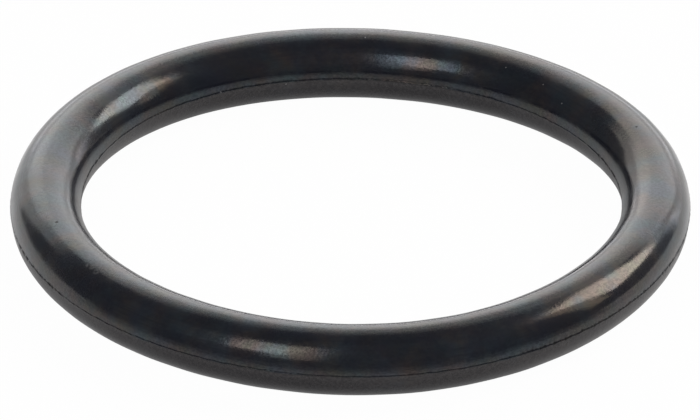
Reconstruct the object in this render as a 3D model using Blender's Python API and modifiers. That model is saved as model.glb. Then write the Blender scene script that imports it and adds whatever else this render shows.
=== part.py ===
"""An O-ring lying flat: one moulded ring of round section, with its parting line.

Metres, +Z up. The origin lies on the ring's axis, level with the face that it rests on.
"""
from math import asin, cos, pi, sin

import bpy

# Driving sizes, in metres
INSIDE_DIAMETER = 0.04064
SECTION_DIAMETER = 0.00533
PARTING_WIDTH = 0.00020      # trimmed flash on the mid-plane, along the ring's axis
PARTING_HEIGHT = 0.00006     # how far the trimmed flash stands out of the round section
CONTACT_WIDTH = 0.00050      # flat land where the section meets a face, above and below

# Facets
QUARTER_STEPS = 9            # from a contact land to the parting line
TURN_STEPS = 96              # round the ring

# Finish of black nitrile rubber
RUBBER_COLOUR = (0.012, 0.012, 0.013, 1.0)
RUBBER_ROUGHNESS = 0.42

MERGE_DISTANCE = 0.000001


def clear_scene():
    """Remove whatever the scene holds."""
    for old in list(bpy.data.objects):
        bpy.data.objects.remove(old, do_unlink=True)


def rubber_material():
    """Moulded black nitrile rubber with a low gloss."""
    material = bpy.data.materials.new("nitrile_rubber")
    material.use_nodes = True
    shader = material.node_tree.nodes["Principled BSDF"]
    shader.inputs["Base Color"].default_value = RUBBER_COLOUR
    shader.inputs["Roughness"].default_value = RUBBER_ROUGHNESS
    shader.inputs["Metallic"].default_value = 0.0
    material.diffuse_color = RUBBER_COLOUR
    return material


def section_outline():
    """Outline of the section as (outward, up) points about the section's centre.

    It starts at the top, runs down the outer side and comes back up the inner side.
    Between the contact lands it is round, apart from the lip of trimmed flash that
    the two mould halves leave on the mid-plane, outside and inside.
    """
    radius = SECTION_DIAMETER / 2
    from_land = asin(CONTACT_WIDTH / 2 / radius)
    to_lip = pi / 2 - asin(PARTING_WIDTH / 2 / radius)

    upper_outer = []
    for step in range(QUARTER_STEPS + 1):
        angle = from_land + (to_lip - from_land) * step / QUARTER_STEPS
        upper_outer.append((radius * sin(angle), radius * cos(angle)))
    upper_outer.append((radius + PARTING_HEIGHT, PARTING_WIDTH / 2))

    lower_outer = [(out, -up) for out, up in reversed(upper_outer)]
    outer = upper_outer + lower_outer
    inner = [(-out, -up) for out, up in outer]
    return outer + inner


def section_mesh():
    """The section as a closed loop of edges, standing on the XY plane beside the axis."""
    outline = section_outline()
    centre_radius = (INSIDE_DIAMETER + SECTION_DIAMETER) / 2
    centre_height = max(up for out, up in outline)
    points = [(centre_radius + out, 0.0, centre_height + up) for out, up in outline]
    edges = [(index, (index + 1) % len(points)) for index in range(len(points))]
    mesh = bpy.data.meshes.new("o_ring")
    mesh.from_pydata(points, edges, [])
    return mesh


def make_ring(collection):
    """Turn the section once round the ring's axis."""
    ring = bpy.data.objects.new("o_ring", section_mesh())
    collection.objects.link(ring)
    ring.data.materials.append(rubber_material())

    turn = ring.modifiers.new("turn", "SCREW")
    turn.axis = "Z"
    turn.angle = 2 * pi
    turn.screw_offset = 0.0
    turn.steps = TURN_STEPS
    turn.render_steps = TURN_STEPS
    turn.use_merge_vertices = True
    turn.merge_threshold = MERGE_DISTANCE
    turn.use_smooth_shade = True
    return ring


def main():
    clear_scene()
    collection = bpy.data.collections.new("o_ring")
    bpy.context.scene.collection.children.link(collection)
    make_ring(collection)


main()
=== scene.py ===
"""A moulded black rubber O-ring lying flat on a white table, in a dim studio with a window and two lamps."""
from math import cos, pi, radians, sin
from types import SimpleNamespace

import bpy
import numpy as np
from mathutils import Matrix, Vector


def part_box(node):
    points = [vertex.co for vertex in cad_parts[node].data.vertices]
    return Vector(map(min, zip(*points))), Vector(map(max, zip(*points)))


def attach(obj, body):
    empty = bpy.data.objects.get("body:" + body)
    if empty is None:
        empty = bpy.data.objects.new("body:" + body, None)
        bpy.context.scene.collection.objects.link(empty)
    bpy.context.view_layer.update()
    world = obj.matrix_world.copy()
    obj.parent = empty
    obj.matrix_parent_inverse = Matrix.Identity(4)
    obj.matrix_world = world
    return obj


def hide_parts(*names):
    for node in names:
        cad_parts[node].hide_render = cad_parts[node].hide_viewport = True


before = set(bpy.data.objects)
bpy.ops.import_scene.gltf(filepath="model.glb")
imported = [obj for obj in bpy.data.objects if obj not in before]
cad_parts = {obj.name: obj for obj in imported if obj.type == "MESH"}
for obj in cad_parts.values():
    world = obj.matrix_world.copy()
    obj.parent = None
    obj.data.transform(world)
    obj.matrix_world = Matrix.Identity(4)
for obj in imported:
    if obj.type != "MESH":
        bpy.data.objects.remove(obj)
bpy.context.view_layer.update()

# Sizes of the ring, in metres, from the part itself
LOW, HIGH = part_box("o_ring")
SECTION_RADIUS = 0.00533 / 2
SECTION_HALF_HEIGHT = (HIGH[2] - LOW[2]) / 2
LIP_HEIGHT = 0.00006                 # trimmed flash, standing out of the round section
CENTRE_RADIUS = HIGH[0] - LIP_HEIGHT - SECTION_RADIUS
MIDDLE_HEIGHT = (LOW[2] + HIGH[2]) / 2
RING_SHIFT = (-0.000053, 0.000182)   # keeps the ring's box centred, as the free ring isn't quite round

# Lobes of the free ring's centre line: how many, and their depth as cosine and sine shares of its radius
LOBES = [
    (3, 0.0012, 0.0072),
    (4, 0.0, 0.0032),
    (5, 0.0010, -0.0007),
]

# The section is a little thinner than nominal at one side: share of its radius, and degrees round the ring
THINNING = 0.034
THINNEST_AT = 3.0
THINNING_SPAN = 24.0

# Unevenness of the moulded surface, in metres
WAVE_DEPTH = 0.000016                # long, shallow hollows
LIP_HALF_WIDTH = 0.000065
LIP_WOBBLE = 0.000025                # how far the trimmed line wanders up and down
GROOVE_DEPTH = 0.000045              # the cut that trimming leaves above the line
GROOVE_OFFSET = 0.000095
GROOVE_HALF_WIDTH = 0.000050

# Random patterns: seed, number of waves, and how many times a wave repeats round the ring and its section
HOLLOWS = (5, 40, (9, 42), (-3, 4))
WANDER_OUTSIDE = (11, 24, (6, 150), (0, 1))
WANDER_INSIDE = (12, 24, (6, 150), (0, 1))
RAGGED_OUTSIDE = (13, 30, (60, 420), (0, 1))
RAGGED_INSIDE = (14, 30, (60, 420), (0, 1))
WAVE_SPREAD = 0.8                    # keeps nearly all of a pattern within -1 to 1

# The trimmed line as shares of the sizes above: in a clean cut, and what a fully rough one adds
CUT_WIDTH = (0.85, 1.25)
CUT_DEPTH = (0.30, 1.05)
# The mask of tears: rubber that tore, and painted shade over the trimmed groove and the lip beside it
TORN_STRENGTH = (0.20, 0.80)
TORN_EVENNESS = (0.85, -0.25)
TORN_VARIES = 0.6                    # where the cut is rough
TORN_LEAST = 0.1
TORN_WIDTH = 1.9                     # of the cut's width
TORN_OFFSET = 0.5                    # of the cut's offset

# How raggedly it varies along the line: the middle share, how far it varies, the least and the most
LIP_LEFT = (0.42, 0.22, 0.1, 1.0)
CUT_VARIES = (0.8, 0.5, 0.1, 1.3)

# Stretches where the flash was cut more roughly: from and to in degrees, outside (1) or inside (-1), and
# how roughly, from 0 to 1
ROUGH_CUTS = [
    (8.0, 27.0, -1, 0.6),
    (56.0, 150.0, -1, 0.4),
    (158.0, 176.0, -1, 1.0),
    (193.0, 212.0, 1, 0.8),
    (298.0, 350.0, 1, 0.9),
]
ROUGH_CUT_FADE = 3.0

# Nicks on the parting line: degrees round the ring, outside (1) or inside (-1), radius and depth in metres
NICKS = [
    (23.9, -1, 0.00021, 0.00009),
    (19.0, -1, 0.00013, 0.00006),
    (14.4, -1, 0.00013, 0.00006),
    (8.6, -1, 0.00015, 0.00006),
    (195.2, 1, 0.00016, 0.00007),
    (197.4, 1, 0.00020, 0.00009),
    (199.3, 1, 0.00014, 0.00006),
    (-19.6, 1, 0.00015, 0.00007),
    (-21.6, 1, 0.00018, 0.00008),
]
NICK_SHARPNESS = 0.7

# Marks on the surface: degrees round the ring and round its section, and radius in metres
LIGHT_SPECKS = [
    (87.3, 104.0, 0.00009),
    (57.0, 121.0, 0.00007),
    (47.2, 127.0, 0.00007),
    (40.5, 142.0, 0.00008),
    (104.2, 184.0, 0.00010),
    (119.1, 179.0, 0.00008),
]
SCUFFS = [
    (214.9, 69.0, 0.00026),
    (216.0, 71.0, 0.00034),
    (217.6, 69.5, 0.00040),
]
DARK_SPECKS = [
    (21.1, 91.0, 0.00016),
    (198.4, 85.0, 0.00018),
]
SCRATCHED_PATCHES = [
    (182.0, 84.0, 0.00150),
    (18.0, 96.0, 0.00180),
    (11.0, 102.0, 0.00180),
]
HAZY_PATCH = (207.0, 30.0, 0.0080)
GLOSSY_PATCH = (327.0, 50.0, 0.0100)
SPOT_CORE = 0.25                     # share of a mark's radius that is fully marked

# Wider patches where the gloss looks beige, or bluish: degrees as above, radius in metres
BEIGE_PATCHES = [
    (331.0, 54.0, 0.0032),
    (318.0, 57.0, 0.0024),
    (310.0, 57.0, 0.0022),
    (74.0, 145.0, 0.0012),
    (132.0, 144.0, 0.0012),
    (252.0, 39.0, 0.0015),
    (262.0, 37.0, 0.0015),
    (4.6, 111.0, 0.0020),
    (12.0, 106.0, 0.0030),
    (22.0, 100.0, 0.0024),
    (-8.0, 122.0, 0.0016),
    (30.0, 92.0, 0.0018),
    (57.0, 72.0, 0.0030),
]
BLUE_PATCHES = [
    (82.0, 145.0, 0.0015),
    (68.0, 141.0, 0.0009),
    (144.0, 141.0, 0.0024),
    (169.0, 60.0, 0.0022),
    (201.0, 87.0, 0.0015),
    (213.0, 83.0, 0.0015),
    (343.0, 45.0, 0.0016),
    (-3.0, 84.0, 0.0018),
    (21.0, 90.0, 0.0007),
    (10.0, 78.0, 0.0012),
]
PATCH_TINT = 0.25

# Patterns on the rubber: repeats per metre, levels of finer detail, and how strong each is beside the last
CLOUDS = (300, 4.0, 0.6)
TINTS = (380, 3.0, 0.6)
ROSES = (520, 3.0, 0.6)
GRAIN = (5200, 2.0, 0.6)
DOTS = (3000, 1.0, 0.5)
STREAKS = (1.0, 3.0, 0.6)            # once per streak, instead of per metre
RIBS = (1.0, 2.0, 0.6)               # once per rib
STREAK_SIZE = (0.0050, 0.00022)      # metres along the ring and across its section
RIB_SIZE = (0.00022, 0.0030)
TINT_OFFSET = (0.3, 0.1, 0.2)        # metres, so that no two patterns are alike
ROSE_OFFSET = (0.1, 0.4, 0.2)
BELOW_LINE = (MIDDLE_HEIGHT + 0.00002, MIDDLE_HEIGHT - 0.00008)

# How a pattern shows: from and to in the pattern, and what it gives there if that isn't 0 and 1
TORN_IN_DOTS = (0.42, 0.56, 0.35, 1.0)
SCRATCHED_IN_GRAIN = (0.50, 0.62)
SCUFFED_IN_GRAIN = (0.35, 0.65, 0.0, 0.26)
SCRATCH_STRENGTH = 0.25
WARM_IN_TINTS = (0.28, 0.72)
ROSY_IN_ROSES = (0.35, 0.65)
BLOOM_IN_CLOUDS = (0.42, 0.68)
BLOOM_IN_STREAKS = (0.30, 0.70, 0.35, 1.0)
GLOSS_IN_GRAIN = (0.36, 0.64, 0.62, 1.0)

# Colours of the rubber
BODY_ABOVE = (0.0072, 0.0080, 0.0150, 1)
BODY_BELOW = (0.0110, 0.0100, 0.0130, 1)
BLOOM_BLUISH = (0.024, 0.033, 0.044, 1)
BLOOM_BEIGE = (0.044, 0.035, 0.028, 1)
BLOOM_STRENGTH = 0.50
# dark of tears in the rubber, also painting the shade of the trimmed groove
TORN_AND_SHADE_COLOUR = (0.003, 0.003, 0.0035, 1)
DUST_COLOUR = (0.20, 0.20, 0.20, 1)

# Tints of its gloss
GLOSS_BLUISH = (0.72, 0.93, 1.0, 1)
GLOSS_BEIGE = (1.0, 0.87, 0.70, 1)
GLOSS_GREENISH = (0.95, 1.03, 0.97, 1)
GLOSS_ROSY = (1.05, 0.96, 1.03, 1)
GLOSS_BELOW = (1.0, 0.95, 0.94, 1)
# gloss taken by the tear mask: partly dull tears, partly painted shade in the trimmed groove
GLOSS_LOST_TO_TEAR_AND_SHADE = 0.80
SPECULAR_LEVEL = 0.63
BLOOM_COAT = 0.15
BLOOM_COAT_ROUGHNESS = 0.45

# Its roughness: from clean to cloudy, and what each place adds or takes away
ROUGH_IN_CLOUDS = (0.35, 0.70, 0.125, 0.220)
ROUGHER_BELOW = 0.06
ROUGHER_IN_HAZE = 0.04
SMOOTHER_IN_GLOSS = 0.028
ROUGHER_WHERE_WORN = 0.35

# Its relief, in metres: grain from the plain surface to the glossy patch, flow streaks and ribs
GRAIN_RELIEF = (0.0, 0.8, 0.0000065, 0.0000036)
STREAK_RELIEF = 0.0000028
RIB_RELIEF = 0.0000100

# Facets of the ring's mesh
TURN_STEPS = 1120
COARSE_STEP = radians(8.0)
FINE_STEP = radians(0.5)
FINE_HALF_SPAN = radians(5.0)

# The photograph's frame and where the ring lies in it, in pixels
FRAME_WIDTH, FRAME_HEIGHT = 700, 420
RING_MIDDLE_PIXEL = (350.2, 207.8)
CENTRE_RADIUS_PIXELS = 305.2

# The camera
CAMERA_ELEVATION = radians(29.1)
CAMERA_ROLL = radians(0.5)
CAMERA_DISTANCE = 1.4                # metres
CAMERA_CLIP = (0.01, 20)             # metres
SENSOR_WIDTH = 36.0                  # millimetres

# The table: the share of plain white in how it looks near the ring, and how it is mirrored in gloss: half
# lit by the lamps and half a painted light near the ring, with painted shadow under it, and plain light far
# out. The painted light fades with the distance in front of the ring, where the room is dark, and inside the
# ring from back to front, and painted shade dims it a little straight behind the ring: from and to, in metres
TABLE_WHITE = (0.9, 0.9, 0.9, 1)
TABLE_ROUGHNESS = 0.9
TABLE_SEEN = 0.98
TABLE_MIRRORED = 0.5
TABLE_PAINTED_LIGHT = 1.2
TABLE_LIGHT_IN_PAINTED_SHADOW = 0.62
UNDER_RING = (SECTION_RADIUS, 2.5 * SECTION_RADIUS)
NEAR_TO_FAR = (0.08, 0.25)
NO_LIMIT = 9.0                       # brighter than any light on it
FADE_INSIDE_RING = (0.019, -0.010)
FADE_IN_FRONT = (-0.004, -0.020)
FADE_FROM_RING = (0.003, 0.028)
FADED_SHARE = 0.30
DIMMER_BEHIND = (0.022, 0.034)
DIMMER_TO_SIDE = (0.045, 0.025)
DIMMER_LOSS = 0.44

# The room that the set stands in, in metres, and how brightly its walls glow
ROOM_HALF_WIDTH = 3.0
ROOM_HEIGHT = 3.0
ROOM_RADIANCE = 0.16
ROOM_COLOUR = (1.0, 1.0, 1.0, 1)
BACKDROP_COLOUR = (1, 1, 1, 1)

# Lamps and panes of the window as the ring sees them: azimuth (0 straight behind it, 90 to its right),
# elevation, width and height in degrees, radiance and colour
LAMPS = {
    "lamp_right": (64.0, 37.5, 26.0, 28.0, 5.6, (1.05, 1.00, 0.95)),
    "lamp_right_edge": (87.0, 33.0, 9.0, 32.0, 1.3, (1.15, 1.00, 0.85)),
    "lamp_front": (-146.5, 44.5, 18.0, 31.0, 2.9, (1.00, 1.00, 1.06)),
    "lamp_front_edge": (-157.0, 34.5, 16.0, 31.0, 1.35, (1.05, 1.00, 1.02)),
    "front_haze": (178.0, 40.0, 100.0, 76.0, 0.06, (1.00, 1.00, 1.05)),
    "window_behind": (2.5, 24.5, 60.0, 23.5, 1.05, (1.00, 1.00, 1.02)),
    "window_pane": (-16.0, 28.0, 14.0, 30.0, 0.35, (1.08, 1.00, 0.85)),
    "window_glow": (0.5, 20.5, 83.0, 41.0, 0.97, (1.03, 1.00, 1.00)),
    "window_top": (6.0, 47.0, 48.0, 16.0, 0.8, (1.00, 1.00, 1.00)),
    "window_haze": (6.0, 59.0, 46.0, 10.0, 0.35, (1.00, 1.00, 1.00)),
    "window_right": (43.0, 8.7, 7.2, 17.4, 1.40, (0.97, 1.00, 1.12)),
    "window_sill": (1.5, 2.8, 49.0, 5.4, 1.1, (1.01, 1.00, 1.06)),
}
LAMP_DISTANCE = 0.8


def waves(turn, section, seed, count, turn_range, section_range):
    """A smooth random pattern, mostly within -1 to 1, that closes on itself both ways round."""
    draw = np.random.default_rng(seed)
    total = np.zeros(np.broadcast(turn, section).shape)
    for _ in range(count):
        round_ring = draw.integers(*turn_range)
        round_section = draw.integers(*section_range)
        total += np.sin(round_ring * turn + round_section * section + draw.uniform(0, 2 * pi))
    return total * WAVE_SPREAD / np.sqrt(count)


def bell(distance, half_width):
    """A smooth hump: 1 in its middle and near 0 beyond twice its half width."""
    return np.exp(-(distance / half_width) ** 2)


def angle_from(turn, degrees):
    """The angle round the ring from a place given in degrees, within half a turn either way."""
    return np.angle(np.exp(1j * (turn - radians(degrees))))


def section_angles():
    """Angles round the section, from 0 at the outside, with fine steps across both parting lines."""
    fine = np.arange(-FINE_HALF_SPAN, FINE_HALF_SPAN + FINE_STEP / 2, FINE_STEP)
    gap = pi - 2 * FINE_HALF_SPAN
    count = round(gap / COARSE_STEP)
    coarse = FINE_HALF_SPAN + gap * np.arange(1, count) / count
    return np.concatenate([fine, coarse, fine + pi, coarse + pi])


def out_of_round(turn):
    """How far the free ring's centre line lies outside a true circle, as a share of its radius."""
    return sum(along * np.cos(count * turn) + across * np.sin(count * turn) for count, along, across in LOBES)


def thinning(turn):
    """How much thinner than nominal the section is, as a share of its radius."""
    return THINNING * bell(angle_from(turn, THINNEST_AT), radians(THINNING_SPAN))


def roughly_cut(turn, side):
    """How roughly the flash was cut there, from 0 to 1."""
    rough = np.zeros(turn.shape)
    for start, end, cut_side, strength in ROUGH_CUTS:
        off = np.abs(angle_from(turn, (start + end) / 2))
        reach = radians((end - start) / 2 + ROUGH_CUT_FADE)
        share = np.clip((reach - off) / radians(2 * ROUGH_CUT_FADE), 0, 1)
        rough = np.maximum(rough, strength * share * (side == cut_side))
    return rough


def with_rough(shares, rough):
    """A share that grows with the roughness of the cut."""
    clean, added = shares
    return clean + added * rough


def with_ragged(shares, ragged):
    """A share that varies raggedly along the line."""
    middle, varies, least, most = shares
    return np.clip(middle + varies * ragged, least, most)


def by_side(turn, side, outside, inside):
    """One random pattern along the outer parting line and another along the inner one."""
    outer = (side > 0).astype(float)
    return outer * waves(turn, 0, *outside) + (1 - outer) * waves(turn, 0, *inside)


def cut_nicks(turn, section, side, lip, torn_and_shade):
    """The lip and the mask of tears and painted groove shade, with the nicks cut in, which the mask also
    paints dark.
    """
    for degrees, nick_side, size, depth in NICKS:
        along = angle_from(turn, degrees) * (CENTRE_RADIUS + nick_side * SECTION_RADIUS)
        away = np.sqrt(along ** 2 + (np.sin(section) * SECTION_RADIUS) ** 2)
        nick = bell(away, size * NICK_SHARPNESS) * (side == nick_side)
        lip = lip * (1 - nick) - depth * nick
        torn_and_shade = np.maximum(torn_and_shade, nick)
    return lip, torn_and_shade


def parting_line(turn, section):
    """Height of the trimmed flash on the round section, and a mask from 0 to 1 of tears in the rubber there
    and of painted shade over the trimmed groove and lip.
    """
    side = np.sign(np.cos(section))
    wander = by_side(turn, side, WANDER_OUTSIDE, WANDER_INSIDE)
    ragged = by_side(turn, side, RAGGED_OUTSIDE, RAGGED_INSIDE)
    rough = roughly_cut(turn, side)
    above = np.sin(section) * SECTION_RADIUS - LIP_WOBBLE * wander

    lip = LIP_HEIGHT * with_ragged(LIP_LEFT, ragged) * bell(above, LIP_HALF_WIDTH)
    cut_width = GROOVE_HALF_WIDTH * with_rough(CUT_WIDTH, rough)
    cut_depth = GROOVE_DEPTH * with_rough(CUT_DEPTH, rough) * with_ragged(CUT_VARIES, ragged)
    groove = cut_depth * bell(above - GROOVE_OFFSET, cut_width)
    torn_and_shade = bell(above - TORN_OFFSET * GROOVE_OFFSET, TORN_WIDTH * cut_width)
    torn_and_shade = with_rough(TORN_STRENGTH, rough) * torn_and_shade
    torn_along = with_rough(TORN_EVENNESS, rough) + TORN_VARIES * rough * ragged
    torn_and_shade = torn_and_shade * np.clip(torn_along, TORN_LEAST, 1)
    lip, torn_and_shade = cut_nicks(turn, section, side, lip, torn_and_shade)
    return lip - groove, torn_and_shade


def ring_surface(turn, section):
    """Points of the surface, and its mask of tears and painted shade, for arrays of angles round the ring and
    its section.
    """
    hollow = WAVE_DEPTH * 0.5 * (1 - np.clip(waves(turn, section, *HOLLOWS), -1, 1))
    lip, torn_and_shade = parting_line(turn, section)
    radius = SECTION_RADIUS * (1 - thinning(turn)) - hollow + lip
    centre = CENTRE_RADIUS * (1 + out_of_round(turn))
    out = centre + radius * np.cos(section)
    up = MIDDLE_HEIGHT + radius * np.sin(section) * SECTION_HALF_HEIGHT / SECTION_RADIUS
    across, along = RING_SHIFT
    return np.stack([across + out * np.cos(turn), along + out * np.sin(turn), up], -1), torn_and_shade


def surface_point(degrees_round, section_degrees):
    """The point of the ring's surface at two angles."""
    turn = np.array([radians(degrees_round)])
    points, _ = ring_surface(turn, np.array([radians(section_degrees)]))
    return tuple(points[0])


def grid_faces(rows, columns):
    """Quads of a grid that closes on itself both ways."""
    row = np.arange(rows)[:, None]
    column = np.arange(columns)[None, :]
    next_row = (row + 1) % rows
    next_column = (column + 1) % columns
    corners = [
        row * columns + column,
        next_row * columns + column,
        next_row * columns + next_column,
        row * columns + next_column,
    ]
    return np.stack(np.broadcast_arrays(*corners), -1).reshape(-1, 4)


def make_ring():
    """The ring's fine surface: its section turned once round the axis."""
    turns = np.arange(TURN_STEPS) * 2 * pi / TURN_STEPS
    sections = section_angles()
    turn, section = np.meshgrid(turns, sections, indexing="ij")
    points, torn_and_shade = ring_surface(turn, section)
    mesh = bpy.data.meshes.new("rubber_ring")
    mesh.from_pydata(points.reshape(-1, 3).tolist(), [], grid_faces(len(turns), len(sections)).tolist())
    mesh.shade_smooth()
    # The mask of tears and painted groove shade goes on the mesh
    mark = mesh.attributes.new("torn_and_shade", "FLOAT", "POINT")
    mark.data.foreach_set("value", torn_and_shade.ravel().astype(np.float32))
    ring = bpy.data.objects.new("rubber_ring", mesh)
    bpy.context.scene.collection.objects.link(ring)
    return ring


class Nodes:
    """Short ways to add nodes to a node tree. An input takes a socket, which is linked, or a plain value."""

    def __init__(self, owner):
        owner.use_nodes = True
        self.tree = owner.node_tree
        self.shader = self.tree.nodes.get("Principled BSDF")

    def fill(self, socket, value):
        """Link a socket, or set its plain value."""
        if isinstance(value, bpy.types.NodeSocket):
            self.tree.links.new(value, socket)
        else:
            socket.default_value = value

    def add(self, kind, inputs=None, **settings):
        """A node of any kind."""
        node = self.tree.nodes.new("ShaderNode" + kind)
        for name, value in settings.items():
            setattr(node, name, value)
        for name, value in (inputs or {}).items():
            self.fill(node.inputs[name], value)
        return node

    def operate(self, kind, operation, values):
        """A node that works on its inputs in order."""
        node = self.add(kind, operation=operation)
        for socket, value in zip(node.inputs, values):
            self.fill(socket, value)
        return node

    def math(self, operation, *values):
        """Arithmetic on plain numbers."""
        return self.operate("Math", operation, values).outputs[0]

    def vector_math(self, operation, *values):
        """Arithmetic on vectors that gives a vector."""
        return self.operate("VectorMath", operation, values).outputs["Vector"]

    def measure(self, operation, *values):
        """A length or a distance."""
        return self.operate("VectorMath", operation, values).outputs["Value"]

    def ramp(self, value, low, high, to_low=0.0, to_high=1.0):
        """A smooth step of value from low to high."""
        ends = {"Value": value, "From Min": low, "From Max": high, "To Min": to_low, "To Max": to_high}
        return self.add("MapRange", ends, interpolation_type="SMOOTHSTEP").outputs["Result"]

    def mix(self, factor, first, second):
        """One colour turning into another."""
        node = self.add("Mix", data_type="RGBA")
        self.fill(node.inputs["Factor"], factor)
        self.fill(node.inputs[6], first)
        self.fill(node.inputs[7], second)
        return node.outputs[2]

    def noise(self, vector, scale, detail, roughness):
        """A cloudy random pattern, mostly near one half."""
        inputs = {"Vector": vector, "Scale": scale, "Detail": detail, "Roughness": roughness}
        return self.add("TexNoise", inputs).outputs["Fac"]

    def show(self, shader):
        """Make a shader the look of the whole material."""
        self.fill(self.tree.nodes["Material Output"].inputs["Surface"], shader)


def ring_place(nodes, along, across):
    """A place on the ring for a pattern: along and across are its length and height in metres."""
    place = nodes.add("TexCoord").outputs["Object"]
    flat = nodes.vector_math("MULTIPLY", place, (1, 1, 0))
    turn = nodes.vector_math("NORMALIZE", flat)
    out = nodes.math("SUBTRACT", nodes.measure("LENGTH", flat), CENTRE_RADIUS)
    height = nodes.add("SeparateXYZ", {"Vector": place}).outputs["Z"]
    up = nodes.math("SUBTRACT", height, MIDDLE_HEIGHT)
    section = nodes.math("ARCTAN2", up, out)
    repeats = CENTRE_RADIUS / along
    round_ring = nodes.vector_math("MULTIPLY", turn, (repeats, repeats, repeats))
    round_section = nodes.math("MULTIPLY", section, SECTION_RADIUS / across)
    lifted = nodes.add("CombineXYZ", {"Z": round_section}).outputs[0]
    return nodes.vector_math("ADD", round_ring, lifted)


def marks(nodes, place, spots):
    """A mask of round spots."""
    mask = 0.0
    for degrees_round, section_degrees, radius in spots:
        away = nodes.measure("DISTANCE", place, surface_point(degrees_round, section_degrees))
        mask = nodes.math("MAXIMUM", mask, nodes.ramp(away, radius, SPOT_CORE * radius))
    return mask


def rubber_patterns(nodes):
    """What the rubber's colour, gloss and relief share: the place, and patterns from 0 to 1."""
    place = nodes.add("TexCoord").outputs["Object"]
    height = nodes.add("SeparateXYZ", {"Vector": place}).outputs["Z"]
    return SimpleNamespace(
        place=place,
        below=nodes.ramp(height, *BELOW_LINE),
        clouds=nodes.noise(place, *CLOUDS),
        tints=nodes.noise(nodes.vector_math("ADD", place, TINT_OFFSET), *TINTS),
        roses=nodes.noise(nodes.vector_math("ADD", place, ROSE_OFFSET), *ROSES),
        grain=nodes.noise(place, *GRAIN),
        dots=nodes.noise(place, *DOTS),
        streaks=nodes.noise(ring_place(nodes, *STREAK_SIZE), *STREAKS),
        ribs=nodes.noise(ring_place(nodes, *RIB_SIZE), *RIBS),
        glossy=marks(nodes, place, [GLOSSY_PATCH]),
    )


def torn_and_shaded_places(nodes, patterns):
    """Where the flash tore off, in a chain of dots, with painted shade of the trimmed groove, and where the
    surface is scratched or darkened in small specks.
    """
    torn_and_shade = nodes.add("Attribute", attribute_name="torn_and_shade").outputs["Fac"]
    torn_and_shade = nodes.math("MULTIPLY", torn_and_shade, nodes.ramp(patterns.dots, *TORN_IN_DOTS))
    # Small dark specks, darkened like the tears
    dark_specked = marks(nodes, patterns.place, DARK_SPECKS)
    scratches = nodes.ramp(patterns.grain, *SCRATCHED_IN_GRAIN)
    scratched = nodes.math("MULTIPLY", marks(nodes, patterns.place, SCRATCHED_PATCHES), scratches)
    scratched = nodes.math("MULTIPLY", scratched, SCRATCH_STRENGTH)
    return nodes.math("MAXIMUM", nodes.math("MAXIMUM", torn_and_shade, dark_specked), scratched)


def dusty_places(nodes, patterns):
    """Where the surface is scuffed pale, or carries a speck of dust."""
    scuffs = nodes.ramp(patterns.grain, *SCUFFED_IN_GRAIN)
    scuffed = nodes.math("MULTIPLY", marks(nodes, patterns.place, SCUFFS), scuffs)
    return nodes.math("MAXIMUM", scuffed, marks(nodes, patterns.place, LIGHT_SPECKS))


def warmth(nodes, patterns):
    """How far the tint of the bloom goes from bluish, at 0, to beige, at 1."""
    beige = nodes.math("MULTIPLY", marks(nodes, patterns.place, BEIGE_PATCHES), PATCH_TINT)
    blue = nodes.math("MULTIPLY", marks(nodes, patterns.place, BLUE_PATCHES), PATCH_TINT)
    tint = nodes.math("SUBTRACT", nodes.math("ADD", patterns.tints, beige), blue)
    return nodes.ramp(tint, *WARM_IN_TINTS)


def body_colour(nodes, patterns, warm, torn_and_shade, dusty):
    """Cool black above the line and a little greyer below it, with bloom in soft clouds."""
    body = nodes.mix(patterns.below, BODY_ABOVE, BODY_BELOW)
    bloom_tint = nodes.mix(warm, BLOOM_BLUISH, BLOOM_BEIGE)
    clouded = nodes.ramp(patterns.clouds, *BLOOM_IN_CLOUDS)
    bloom = nodes.math("MULTIPLY", clouded, nodes.ramp(patterns.streaks, *BLOOM_IN_STREAKS))
    colour = nodes.mix(nodes.math("MULTIPLY", bloom, BLOOM_STRENGTH), body, bloom_tint)
    # Dark where the rubber tore or is scratched or specked, and painted shade along the trimmed groove, the
    # lip and the nicks
    colour = nodes.mix(torn_and_shade, colour, TORN_AND_SHADE_COLOUR)
    return nodes.mix(dusty, colour, DUST_COLOUR)


def gloss_colour(nodes, patterns, warm, torn_and_shade):
    """The gloss: bluish to beige and greenish to rosy above the line, even below it, speckled by grain."""
    rose = nodes.mix(nodes.ramp(patterns.roses, *ROSY_IN_ROSES), GLOSS_GREENISH, GLOSS_ROSY)
    above = nodes.vector_math("MULTIPLY", nodes.mix(warm, GLOSS_BLUISH, GLOSS_BEIGE), rose)
    tint = nodes.mix(patterns.below, above, GLOSS_BELOW)
    speckle = nodes.ramp(patterns.grain, *GLOSS_IN_GRAIN)
    # Gloss taken away there too: dull tears, and painted shade in the trimmed groove and over the lip
    kept = nodes.math("SUBTRACT", speckle, nodes.math("MULTIPLY", torn_and_shade, GLOSS_LOST_TO_TEAR_AND_SHADE))
    return nodes.mix(kept, (0, 0, 0, 1), tint)


def surface_roughness(nodes, patterns, torn_and_shade, dusty):
    """Semi-gloss above, matter in the bloom and below the line, dull where the surface is worn."""
    rough = nodes.ramp(patterns.clouds, *ROUGH_IN_CLOUDS)
    hazy = marks(nodes, patterns.place, [HAZY_PATCH])
    worn = nodes.math("MAXIMUM", torn_and_shade, dusty)
    rough = nodes.math("ADD", rough, nodes.math("MULTIPLY", patterns.below, ROUGHER_BELOW))
    rough = nodes.math("ADD", rough, nodes.math("MULTIPLY", hazy, ROUGHER_IN_HAZE))
    rough = nodes.math("SUBTRACT", rough, nodes.math("MULTIPLY", patterns.glossy, SMOOTHER_IN_GLOSS))
    return nodes.math("ADD", rough, nodes.math("MULTIPLY", worn, ROUGHER_WHERE_WORN))


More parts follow.
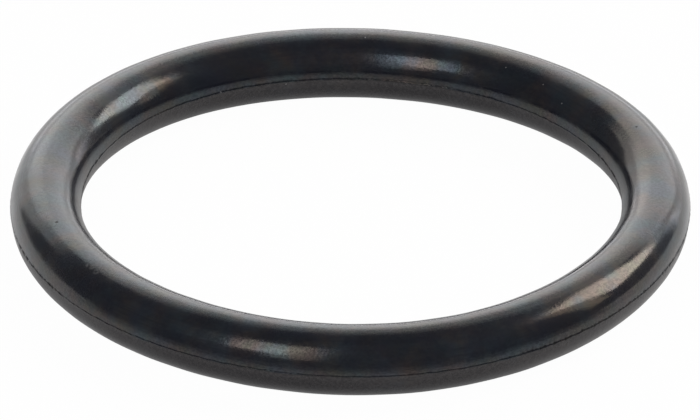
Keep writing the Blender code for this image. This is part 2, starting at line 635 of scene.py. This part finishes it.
def surface_relief(nodes, patterns):
    """Fine grain everywhere, with flow streaks above the line and short ribs below it."""
    grain = nodes.math("MULTIPLY", patterns.grain, nodes.ramp(patterns.glossy, *GRAIN_RELIEF))
    above = nodes.math("SUBTRACT", 1.0, patterns.below)
    streaks = nodes.math("MULTIPLY", patterns.streaks, nodes.math("MULTIPLY", above, STREAK_RELIEF))
    ribs = nodes.math("MULTIPLY", patterns.ribs, nodes.math("MULTIPLY", patterns.below, RIB_RELIEF))
    relief = nodes.math("ADD", grain, nodes.math("ADD", streaks, ribs))
    return nodes.add("Bump", {"Height": relief, "Strength": 1.0, "Distance": 1.0}).outputs["Normal"]


def rubber():
    """Black nitrile rubber as it comes from the mould, with a grey bloom that adds a wide, faint gloss."""
    material = bpy.data.materials.new("nitrile_rubber")
    nodes = Nodes(material)
    patterns = rubber_patterns(nodes)
    torn_and_shade = torn_and_shaded_places(nodes, patterns)
    dusty = dusty_places(nodes, patterns)
    warm = warmth(nodes, patterns)
    inputs = nodes.shader.inputs
    nodes.fill(inputs["Base Color"], body_colour(nodes, patterns, warm, torn_and_shade, dusty))
    nodes.fill(inputs["Specular Tint"], gloss_colour(nodes, patterns, warm, torn_and_shade))
    nodes.fill(inputs["Roughness"], surface_roughness(nodes, patterns, torn_and_shade, dusty))
    nodes.fill(inputs["Normal"], surface_relief(nodes, patterns))
    inputs["Specular IOR Level"].default_value = SPECULAR_LEVEL
    inputs["Coat Weight"].default_value = BLOOM_COAT
    inputs["Coat Roughness"].default_value = BLOOM_COAT_ROUGHNESS
    return material


def shown(nodes, seen, mirrored):
    """How white a surface looks by itself: seen directly, mirrored in gloss or glass, and 0 for light."""
    path = nodes.add("LightPath").outputs
    gloss = nodes.math("MAXIMUM", path["Is Glossy Ray"], path["Is Transmission Ray"])
    gloss = nodes.math("MULTIPLY", gloss, mirrored)
    return nodes.math("MAXIMUM", nodes.math("MULTIPLY", path["Is Camera Ray"], seen), gloss)


def painted_table_fade(nodes, behind, outward):
    """Where the painted light on the table has faded, from 0 to 1."""
    inside = nodes.math("LESS_THAN", outward, 0.0)
    inner = nodes.math("MULTIPLY", inside, nodes.ramp(behind, *FADE_INSIDE_RING))
    in_front = nodes.ramp(behind, *FADE_IN_FRONT)
    outer = nodes.math("MULTIPLY", in_front, nodes.ramp(outward, *FADE_FROM_RING))
    return nodes.math("MAXIMUM", inner, outer)


def painted_table_light(nodes, reach, place, outward, faded):
    """How bright the painted light on the table is, with painted shadow under the ring and painted shade
    straight behind it.
    """
    from_ring = nodes.math("ABSOLUTE", outward)
    light = nodes.ramp(from_ring, *UNDER_RING, TABLE_LIGHT_IN_PAINTED_SHADOW, TABLE_PAINTED_LIGHT)
    light = nodes.math("MINIMUM", light, nodes.ramp(reach, *NEAR_TO_FAR, NO_LIMIT, 1.0))
    light = nodes.math("MULTIPLY", light, nodes.ramp(faded, 0.0, 1.0, 1.0, FADED_SHARE))
    aside = nodes.ramp(nodes.math("ABSOLUTE", place["X"]), *DIMMER_TO_SIDE)
    painted_shade_behind = nodes.math("MULTIPLY", nodes.ramp(place["Y"], *DIMMER_BEHIND), aside)
    kept = nodes.math("SUBTRACT", 1.0, nodes.math("MULTIPLY", painted_shade_behind, DIMMER_LOSS))
    return nodes.math("MULTIPLY", light, kept)


def table_material():
    """White acrylic: lit by the lamps near the ring, where it keeps the shadow, and plain white far out;
    gloss also mirrors a painted light on it, with painted shadow under the ring.
    """
    material = bpy.data.materials.new("white_acrylic")
    nodes = Nodes(material)
    nodes.shader.inputs["Base Color"].default_value = TABLE_WHITE
    nodes.shader.inputs["Roughness"].default_value = TABLE_ROUGHNESS
    nodes.shader.inputs["Specular IOR Level"].default_value = 0.0
    point = nodes.add("TexCoord").outputs["Object"]
    place = nodes.add("SeparateXYZ", {"Vector": point}).outputs
    reach = nodes.measure("LENGTH", point)
    outward = nodes.math("SUBTRACT", reach, CENTRE_RADIUS)
    faded = painted_table_fade(nodes, place["Y"], outward)
    seen = nodes.ramp(reach, *NEAR_TO_FAR, TABLE_SEEN, 1.0)
    mirrored = nodes.ramp(reach, *NEAR_TO_FAR, TABLE_MIRRORED, 1.0)
    mirrored = nodes.math("MAXIMUM", mirrored, faded)
    light = painted_table_light(nodes, reach, place, outward, faded)
    # Plain white for the camera; for gloss, the painted light with its painted shadow and fades
    white = nodes.add("Emission", {"Strength": shown(nodes, 1.0, light)})
    mix = nodes.add("MixShader", {"Fac": shown(nodes, seen, mirrored)})
    nodes.fill(mix.inputs[1], nodes.shader.outputs[0])
    nodes.fill(mix.inputs[2], white.outputs[0])
    nodes.show(mix.outputs[0])
    return material


def glowing_wall_material():
    """Grey walls that glow evenly, as a dim light all round the set."""
    material = bpy.data.materials.new("glowing_grey_wall")
    nodes = Nodes(material)
    wall = nodes.add("Emission", {"Color": ROOM_COLOUR, "Strength": ROOM_RADIANCE})
    nodes.show(wall.outputs[0])
    return material


def stage_mesh(name, corners, faces, material):
    """A plain mesh of the set, which isn't part of the object."""
    mesh = bpy.data.meshes.new(name)
    mesh.from_pydata(corners, [], faces)
    mesh.materials.append(material)
    piece = bpy.data.objects.new(name, mesh)
    bpy.context.scene.collection.objects.link(piece)
    return piece


def square(half, height):
    """Corners of a level square."""
    return [(-half, -half, height), (half, -half, height), (half, half, height), (-half, half, height)]


def white_table():
    """The wide table top that the ring lies on."""
    stage_mesh("table", square(ROOM_HALF_WIDTH, 0), [(0, 1, 2, 3)], table_material())


def dim_room():
    """Grey walls and ceiling that glow round the set, for the rubber to reflect between the lamps."""
    corners = square(ROOM_HALF_WIDTH, 0) + square(ROOM_HALF_WIDTH, ROOM_HEIGHT)
    faces = [(0, 1, 5, 4), (1, 2, 6, 5), (2, 3, 7, 6), (3, 0, 4, 7), (4, 5, 6, 7)]
    room = stage_mesh("room", corners, faces, glowing_wall_material())
    room.visible_camera = False


def toward(azimuth, elevation):
    """Unit vector from the ring: azimuth 0 is straight behind it, 90 to its right."""
    turn = radians(azimuth)
    rise = radians(elevation)
    return Vector((sin(turn) * cos(rise), cos(turn) * cos(rise), sin(rise)))


def softbox(name, azimuth, elevation, width, height, radiance, colour):
    """A rectangular lamp that faces the ring. Width and height are in degrees, as the ring sees them."""
    light = bpy.data.lights.new(name, "AREA")
    light.shape = "RECTANGLE"
    light.size = 2 * LAMP_DISTANCE * np.tan(radians(width / 2))
    light.size_y = 2 * LAMP_DISTANCE * np.tan(radians(height / 2))
    light.energy = radiance * pi * light.size * light.size_y
    light.color = colour
    lamp = bpy.data.objects.new(name, light)
    direction = toward(azimuth, elevation)
    lamp.location = direction * LAMP_DISTANCE
    lamp.rotation_mode = "QUATERNION"
    lamp.rotation_quaternion = direction.to_track_quat("Z", "Y")
    lamp.visible_camera = False
    bpy.context.scene.collection.objects.link(lamp)


def white_backdrop():
    """A world that is plain white where nothing stands before it."""
    world = bpy.data.worlds.new("studio")
    bpy.context.scene.world = world
    nodes = Nodes(world)
    background = nodes.tree.nodes["Background"]
    background.inputs["Color"].default_value = BACKDROP_COLOUR
    nodes.fill(background.inputs["Strength"], shown(nodes, 1.0, 1.0))


def make_camera():
    """The camera at the photograph's angle, with a long lens."""
    data = bpy.data.cameras.new("camera")
    data.sensor_width = SENSOR_WIDTH
    focal_pixels = CENTRE_RADIUS_PIXELS * CAMERA_DISTANCE / CENTRE_RADIUS
    data.lens = focal_pixels * SENSOR_WIDTH / FRAME_WIDTH
    data.clip_start, data.clip_end = CAMERA_CLIP

    back = Vector((0, -cos(CAMERA_ELEVATION), sin(CAMERA_ELEVATION)))
    level_right = Vector((1, 0, 0))
    level_up = back.cross(level_right)
    right = cos(CAMERA_ROLL) * level_right + sin(CAMERA_ROLL) * level_up
    up = cos(CAMERA_ROLL) * level_up - sin(CAMERA_ROLL) * level_right

    metres_per_pixel = CENTRE_RADIUS / CENTRE_RADIUS_PIXELS
    across = (FRAME_WIDTH / 2 - RING_MIDDLE_PIXEL[0]) * metres_per_pixel
    down = (FRAME_HEIGHT / 2 - RING_MIDDLE_PIXEL[1]) * metres_per_pixel
    aim = Vector((*RING_SHIFT, MIDDLE_HEIGHT)) + right * across - up * down

    camera = bpy.data.objects.new("camera", data)
    turned = Matrix((right, up, back)).transposed().to_4x4()
    camera.matrix_world = Matrix.Translation(aim + back * CAMERA_DISTANCE) @ turned
    bpy.context.scene.collection.objects.link(camera)
    bpy.context.scene.camera = camera


ring = make_ring()
ring.data.materials.append(rubber())
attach(ring, "root")
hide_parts("o_ring")

white_table()
dim_room()
for lamp_name, lamp_values in LAMPS.items():
    softbox(lamp_name, *lamp_values)
white_backdrop()
make_camera()
bpy.context.scene.view_settings.view_transform = "Standard"
